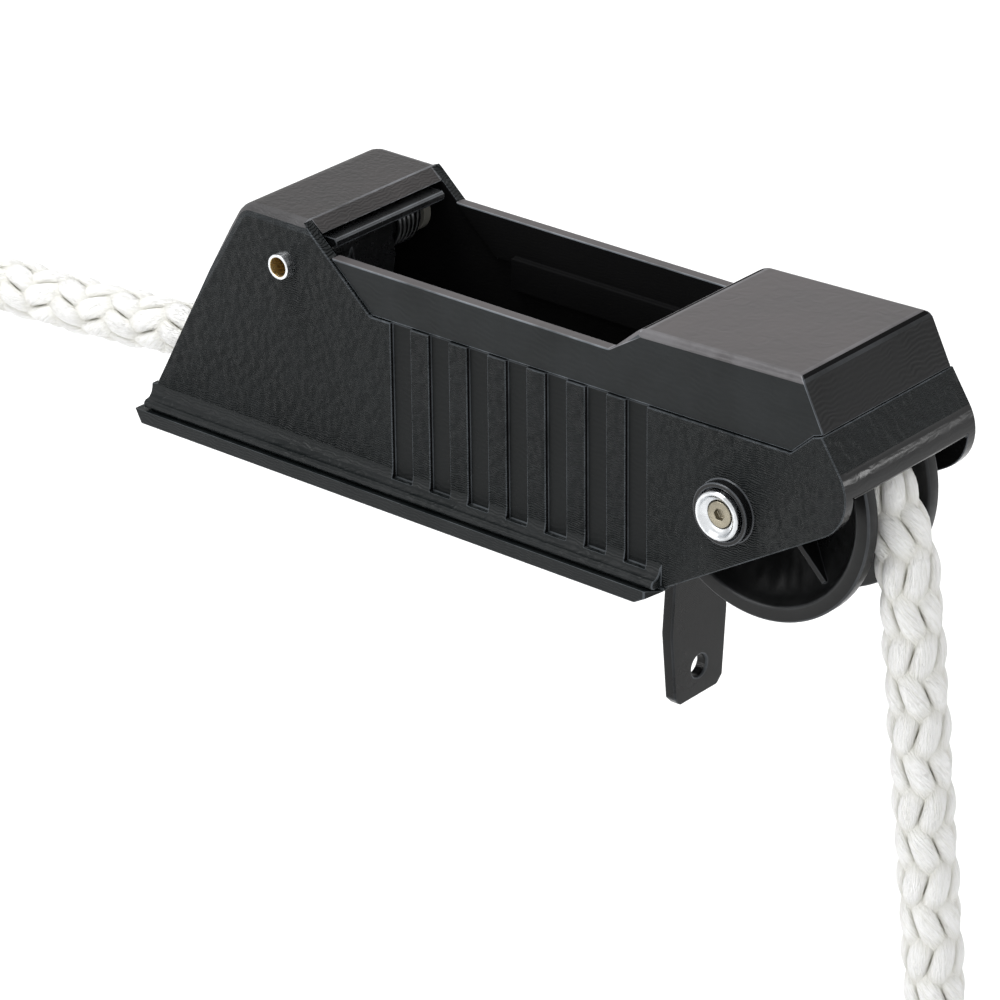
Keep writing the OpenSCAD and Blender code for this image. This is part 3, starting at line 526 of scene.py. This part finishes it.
def whipping(name, place, size, material):
    points = inMetres(placed(whippingRoute(size), place))
    obj = wirePiece(points, size["twine"] / 2 * mm, 8, material, name)
    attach(obj, "root")
    return obj


def twineMaterial():
    material, tree, shader = newMaterial("whippingTwine", (0.62, 0.60, 0.53), 0.7, specular=0.3)
    place = objectPlace(tree)
    fluff = addNode(tree, "ShaderNodeTexNoise", Vector=place, Scale=1400.0, Detail=3.0).outputs["Fac"]
    tree.links.new(mixColours(tree, fluff, (0.46, 0.44, 0.38), (0.74, 0.73, 0.67)),
                   shader.inputs["Base Color"])
    addBump(tree, shader, fluff, 0.6, 0.0003)
    return material


def ropePieces():
    size, eye = ropeSizes, ropeEye
    end = Vector(fallRoute[-1])
    tip = Vector(tailRoute[-1])
    fallPlace = Matrix.Translation(end) @ Matrix.Rotation(math.radians(-eye["fallLean"]), 4, "Y")
    tailTurn = Matrix.Rotation(math.pi / 2, 4, "Y") @ Matrix.Rotation(math.pi / 2, 4, "Z")
    tailPlace = Matrix.Translation(tip) @ tailTurn
    tail = [Vector(p) for p in reversed(tailRoute)]
    fall = [Vector(p) for p in fallRoute]
    held = [Vector(p) for p in innerRoute(innerRun)]
    run = smoothPath(tail + held + fall + placed(eyeRoute(eye), fallPlace), 1.0)
    run = inMetres(run)
    tailEye = inMetres(smoothPath([tip] + placed(eyeRoute(eye), tailPlace), 1.0))

    def lengthTo(point):
        target = Vector(point) * mm
        near = min(range(len(run)), key=lambda i: (run[i] - target).length)
        return pathLength(run[:near + 1]), near

    tailEnd, tailIndex = lengthTo(tailRoute[0])
    fallStart, fallIndex = lengthTo(fallRoute[0])
    fallEnd, endIndex = lengthTo(fallRoute[-1])
    whole = pathLength(run)
    tree, material = ropeTree(), ropeMaterial()
    shared = {"Strands": size["strands"], "Pitch": size["pitch"], "Lay Radius": size["layRadius"],
              "Wave": size["wave"], "Strand Half": size["strandHalf"], "Strand Flat": size["strandFlat"],
              "Step": size["step"], "Material": material}
    line = curveFrom(run, "ropeLine")
    pieces = {}
    for name, first, last in (("ropeTail", 0.0, tailEnd), ("ropeInner", tailEnd, fallStart),
                              ("ropeFall", fallStart, fallEnd), ("fallEye", fallEnd, whole)):
        pieces[name] = bakeModifier(line, tree, shared | {"From": first, "To": last, "Side": (0, 1, 0)}, name)
    eyeLine = curveFrom(tailEye, "eyeLine")
    pieces["tailEye"] = bakeModifier(eyeLine, tree, shared | {
        "From": 0.0, "To": pathLength(tailEye), "Side": (0, 0, 1), "Phase": math.pi / 2}, "tailEye")
    for obj in (line, eyeLine):
        bpy.data.objects.remove(obj)
    for name, obj in pieces.items():
        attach(obj, "root")
    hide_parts("rope_tail")
    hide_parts("rope_inner")
    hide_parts("rope_fall")
    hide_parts("fall_eye")
    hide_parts("tail_eye")
    twine = twineMaterial()
    tailWhipping = whipping("tailWhipping", tailPlace, whippingSizes, twine)
    fallWhipping = whipping("fallWhipping", fallPlace, whippingSizes, twine)
    print("rope:", {name: len(obj.data.polygons) for name, obj in pieces.items()})


ropePieces()


edgeSizes = {                          # bevel widths in millimetres
    "full": 2.0,                       # width at a weight of 1
    "plain": 0.3,
    "hood": 2.7,
    "cover": 1.7,
    "segments": 3,
    "merge": 0.02,
    "sharpest": 28,                    # degrees: flatter edges stay as they are
    "hoodFrom": (42.0, 57.0),          # the rounding grows between these heights
    "share": 0.4,                      # of the edges beside it that a bevel may take
    "alongside": 0.85,                 # edges straighter than this to each other are one line
    "pinHole": 0.12,
    "wornHighlightWidth": 0.22,                 # faces narrower than this are edges with the full painted highlight and wear
}


def looseCopy(node):
    source = cadNodes[node]
    bm = bmesh.new()
    bm.from_mesh(source.data)
    bmesh.ops.remove_doubles(bm, verts=bm.verts, dist=edgeSizes["merge"] * mm)
    bmesh.ops.dissolve_limit(bm, angle_limit=math.radians(0.6), verts=bm.verts, edges=bm.edges)
    bm.normal_update()
    return bm


def roomFor(edge):                     # the widest bevel that the edges at its two ends leave
    least = edgeSizes["full"] * 10
    for vert in edge.verts:
        along = (edge.other_vert(vert).co - vert.co).normalized()
        for beside in vert.link_edges:
            way = beside.other_vert(vert).co - vert.co
            if beside is not edge and abs(way.normalized().dot(along)) < edgeSizes["alongside"]:
                least = min(least, way.length / mm * edgeSizes["share"])
    return least


def evaluated(source, name):
    mesh = bpy.data.meshes.new_from_object(source.evaluated_get(bpy.context.evaluated_depsgraph_get()))
    bpy.data.objects.remove(source)
    mesh.name = name
    obj = bpy.data.objects.new(name, mesh)
    bpy.context.scene.collection.objects.link(obj)
    return obj


def softened(node, body, finish, widthAt=None, finishAt=None, extra=(), plain=None, turned=False):
    bm = looseCopy(node)
    weights = bm.edges.layers.float.new("bevel_weight_edge")
    for edge in bm.edges:
        if len(edge.link_faces) == 2 and edge.calc_face_angle(0) > math.radians(edgeSizes["sharpest"]):
            width = min(plain or edgeSizes["plain"], roomFor(edge))
            edge[weights] = (widthAt(edge, width) if widthAt else width) / edgeSizes["full"]
    data = bpy.data.meshes.new(node + "Cut")
    bm.to_mesh(data)
    bm.free()
    for name in (finish, *extra):
        data.materials.append(finishes[name])
    data.materials.append(None)
    data.shade_smooth()
    source = bpy.data.objects.new(node + "Cut", data)
    bpy.context.scene.collection.objects.link(source)
    bevel = source.modifiers.new("edges", "BEVEL")
    bevel.limit_method = "WEIGHT"
    bevel.width = edgeSizes["full"] * mm
    bevel.segments = edgeSizes["segments"]
    bevel.use_clamp_overlap = False
    bevel.loop_slide = False           # sliding throws spikes where two widths meet
    bevel.harden_normals = turned
    bevel.miter_outer = "MITER_ARC"
    bevel.material = len(extra) + 1    # the bevels' faces keep a slot of their own until the painted edge highlight and wear are marked
    obj = evaluated(source, node + "Bevelled")
    markWearAndHighlight(obj, len(extra) + 1)
    for face in obj.data.polygons:
        face.material_index = finishAt(face, obj.data) if finishAt else 0
    obj.data.materials.pop(index=len(extra) + 1)
    split = obj.modifiers.new("split", "TRIANGULATE")
    split.min_vertices = 5
    split.keep_custom_normals = turned
    if not turned:                     # round pieces keep the bevel's own normals
        level = obj.modifiers.new("level", "WEIGHTED_NORMAL")
        level.weight = 100
    obj = evaluated(obj, node + "Shell")
    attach(obj, body)
    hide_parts(node)
    return obj


def markWearAndHighlight(obj, bevelSlot):          # painted edge highlight with edge wear: 1 on narrow rounded edges, less on wide ones, 0 on the broad faces
    mesh = obj.data
    wearAndHighlight = mesh.attributes.new("wearAndHighlight", "FLOAT", "FACE")
    points = [v.co for v in mesh.vertices]
    marks = []
    for face in mesh.polygons:
        ring = [points[v] for v in face.vertices]
        rim = sum((a - b).length for a, b in zip(ring, ring[1:] + ring[:1]))
        narrow = 2 * face.area / max(rim, 1e-9) < edgeSizes["wornHighlightWidth"] * mm
        marks.append((1.0 if narrow else 0.3) if face.material_index == bevelSlot else 0.0)
    wearAndHighlight.data.foreach_set("value", marks)


def insideTree(nodes):
    points, faces = [], []
    for node in nodes:
        mesh = cadNodes[node].data
        start = len(points)
        points += [v.co.copy() for v in mesh.vertices]
        faces += [[start + i for i in face.vertices] for face in mesh.polygons]
    return BVHTree.FromPolygons(points, faces)


# finds the faces inside the well, which get the painted shade finish
wellTree = insideTree(["housing", "top_cover", "base_plate"])


def inWell(face, farthest=0.5):
    hit = wellTree.ray_cast(face.center + face.normal * 0.2 * mm, face.normal, farthest)
    return hit[0] is not None and (hit[3] > 14 * mm or abs(face.center.y) < 21.2 * mm)


shellPlaces = {                        # millimetres: where the housing's features stand
    "pin": (-53.3, 52.4), "pinRim": 4.0,
    "axle": (75.2, 28.1), "axleBoss": 8.0,
    "hoodFront": -47.5, "wallFace": 23.9,
    "stripes": (-22, 54, 7, 46.5), "beadTop": 9.4, "noseFrom": 88,
}


def housingWidth(edge, width):
    ends = [v.co / mm for v in edge.verts]
    pinX, pinZ = shellPlaces["pin"]
    if all(math.hypot(e.x - pinX, e.z - pinZ) < shellPlaces["pinRim"] for e in ends):
        return edgeSizes["pinHole"]
    if all(e.x < shellPlaces["hoodFront"] and abs(e.y) > shellPlaces["wallFace"] for e in ends):
        low, high = edgeSizes["hoodFrom"]    # round over the hood's top, crisp down its rear slope
        grown = min(max((min(e.z for e in ends) - low) / (high - low), 0.0), 1.0)
        return width + (edgeSizes["hood"] - width) * grown
    return width


def housingFinish(face, mesh):
    c = face.center / mm
    corners = [mesh.vertices[v].co / mm for v in face.vertices]
    rear, front, low, high = shellPlaces["stripes"]
    axleX, axleZ = shellPlaces["axle"]
    stripeZone = rear < c.x < front and 23 < abs(c.y) < 24.5 and low < c.z < high
    # painted shade: the stripe recesses' rear walls, facing the nose, get the near-black well finish as a
    # shadow line
    if stripeZone and face.normal.x > 0.9:
        return 1
    # painted shade on the housing's faces inside the well
    if abs(c.y) < 23.5 and not (c.x < -50 and face.normal.z > 0.1) and inWell(face):
        return 1
    if stripeZone and abs(c.y) < 23.9:
        return 5
    if abs(c.y) > 23.95 and all(
            math.hypot(p.x - axleX, p.z - axleZ) < shellPlaces["axleBoss"] for p in corners):
        return 3
    if c.x > shellPlaces["noseFrom"] and abs(c.y) < 23.8 and c.z > 30 and face.normal.x > 0.1 and c.z < 46:
        return 3
    # painted light: the hood's upward faces get the lighter lit finish
    if c.x < -44 and face.normal.z > 0.35 and abs(c.y) < 23.9 and c.z > 10:
        return 2
    if c.z < shellPlaces["beadTop"] and abs(c.y) > 24.02:
        return 4
    return 0


def coverWidth(edge, width):
    ends = [v.co / mm for v in edge.verts]
    if all(e.z > 57.2 and e.x > 42 for e in ends):
        return edgeSizes["cover"]
    return width


def coverFinish(face, mesh):
    c = face.center / mm
    # painted shade on the cover's faces inside the well and below its rim
    if inWell(face) or abs(c.y) < 21.0 and c.z < 50:
        return 1
    # painted shade: the cover's front-facing slope gets the darker shaded finish
    if c.x > 94 and face.normal.x > 0.3:
        return 3
    # painted light: the cover's upward faces get the lighter lit finish
    if c.z > 56 and face.normal.z > 0.25 and (c.x > 43 or face.normal.z > 0.9):
        return 2
    return 0


def cadFinish(node, *names):
    mesh = cadNodes[node].data
    mesh.materials.clear()
    for name in names:
        mesh.materials.append(finishes[name])


housingShell = softened("housing", "root", "grainedPlastic", housingWidth, housingFinish,
                        ("wellShadePlastic", "hoodTopLitPlastic", "noseGloss", "basePlastic", "stripePlastic"))
coverShell = softened("top_cover", "root", "bandPlastic", coverWidth, coverFinish,
                      ("wellShadePlastic", "coverTopLitPlastic", "slopeShadedPlastic"))
# the base plate's faces inside the well get the painted shade finish
baseShell = softened("base_plate", "root", "basePlastic", None,
                     lambda face, mesh: 1 if inWell(face) else 0, ("wellShadePlastic",))
legShell = softened("front_leg", "root", "legEnamel", plain=0.5)
sheaveShell = softened("sheave", "wheel", "sheavePlastic", plain=0.5, turned=True)
camShell = softened("rope_cam", "cam", "camPlastic", plain=0.5)
for shell in (housingShell, coverShell, baseShell, legShell, sheaveShell, camShell):
    print("shell:", shell.name, len(shell.data.polygons), "faces")


metalPieces = (                        # node, body, slot, finish, bevel
    ("axle_cup_near", "root", "polished", "brightSteel", 0.25),
    ("axle_cup_far", "root", "polished", "brightSteel", 0.25),
    ("cam_pin", "root", "stainless", "brightSteel", 0.15),
    ("axle_screws", "root", "brass", "brassMetal", 0.2),
    ("jaw_plate", "root", "stainless", "dullSteel", 0.15),
)
def pinLitInsideFinish(face, mesh):             # brass inside the hollow pin, given a lighter brass colour that paints light into the tube's shaded inside
    c = face.center / mm
    pinX, pinZ = shellPlaces["pin"]
    return 1 if (c.x - pinX) * face.normal.x + (c.z - pinZ) * face.normal.z < -1 else 0


for node, body, slot, finish, width in metalPieces:
    softened(node, body, finish, None, pinLitInsideFinish if node == "cam_pin" else None,
             ("pinLitBrass",), plain=width, turned=True)
cadFinishes = (                        # nodes that keep their own mesh, and their finish
    (("leg_rivets", "housing_screws", "jaw_screws"), "dullSteel"),
    (("axle_tube", "thimble"), "brightSteel"),
    (("sheave_bush",), "bronzeMetal"),
    (("sheave_washer_near", "sheave_washer_far", "cam_washer_near", "cam_washer_far"), "washerNylon"),
)
for names, finish in cadFinishes:
    for name in names:
        cadFinish(name, finish)
print("hardware:", len(metalPieces), "softened pieces")


springSizes = {                        # millimetres, from the cam's pin
    "pin": shellPlaces["pin"], "startY": 8.6, "wire": 1.2, "coilRadius": 6.1, "turns": 4.25, "pitch": 1.5,
    "rearReach": 14.5, "thumbUnder": 5.0, "sides": 12,
}


def camSpring(size):
    x, z = size["pin"]
    r, count = size["coilRadius"], int(size["turns"] * 32)
    coil = []
    for k in range(count + 1):
        angle = math.radians(-90 + k * size["turns"] * 360 / count)
        coil.append((x + r * math.cos(angle), size["startY"] + size["pitch"] * size["turns"] * k / count,
                     z + r * math.sin(angle)))
    hoodLeg = [(x - size["rearReach"] * (1 - k / 4), size["startY"], z - r) for k in range(4)]
    last = coil[-1]
    camLeg = [(x + r + 0.1, last[1], z + size["thumbUnder"] * k / 3 - 0.8 * (k == 3)) for k in (1, 2, 3)]
    points = inMetres(hoodLeg + coil + camLeg)
    spring = wirePiece(points, size["wire"] / 2 * mm, size["sides"], finishes["springSteel"], "camSpring")
    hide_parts("cam_spring")
    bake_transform(spring)
    print("spring:", len(spring.data.polygons), "faces")


camSpring(springSizes)


studio = {
    "floorZ": -171 * mm,
    "floorSize": 14.0,
    "floorColour": (0.86, 0.86, 0.86),
    "worldColour": (1.0, 1.0, 1.0),
    "worldStrength": 1.0,
    "lamps": (                     # name, place, aim, size, watts
        ("topLamp", (-0.35, -0.2, 1.5), (0, 0, 0), 0.8, 17.0),
        ("sideLamp", (-0.75, -1.4, 0.45), (0, 0, 0), 0.5, 8.0),
        ("noseLamp", (0.95, 0.85, 0.12), (0.1, 0, 0.03), 0.12, 0.35),
    ),
}


def addStudio(setup):
    bm = bmesh.new()
    half = setup["floorSize"] / 2
    corners = [bm.verts.new((x * half, y * half, setup["floorZ"]))
               for x, y in ((-1, -1), (1, -1), (1, 1), (-1, 1))]
    bm.faces.new(corners)
    data = bpy.data.meshes.new("floor")
    bm.to_mesh(data)
    bm.free()
    floor = bpy.data.objects.new("floor", data)
    bpy.context.scene.collection.objects.link(floor)
    material, tree, shader = newMaterial("paleFloor", setup["floorColour"], 0.8, specular=0.2)
    data.materials.append(material)
    world = bpy.data.worlds.new("studio")
    world.use_nodes = True
    back = world.node_tree.nodes["Background"]
    back.inputs["Color"].default_value = (*setup["worldColour"], 1)
    back.inputs["Strength"].default_value = setup["worldStrength"]
    bpy.context.scene.world = world
    for name, place, aim, size, power in setup["lamps"]:
        light = bpy.data.lights.new(name, "AREA")
        light.shape = "DISK"
        light.size = size
        light.energy = power
        lamp = bpy.data.objects.new(name, light)
        turn = (Vector(aim) - Vector(place)).to_track_quat("-Z", "Y").to_matrix().to_4x4()
        lamp.matrix_world = Matrix.Translation(place) @ turn
        bpy.context.scene.collection.objects.link(lamp)


addStudio(studio)
bpy.context.scene.view_settings.view_transform = "Standard"
print("studio: floor and", len(studio["lamps"]), "lamps")
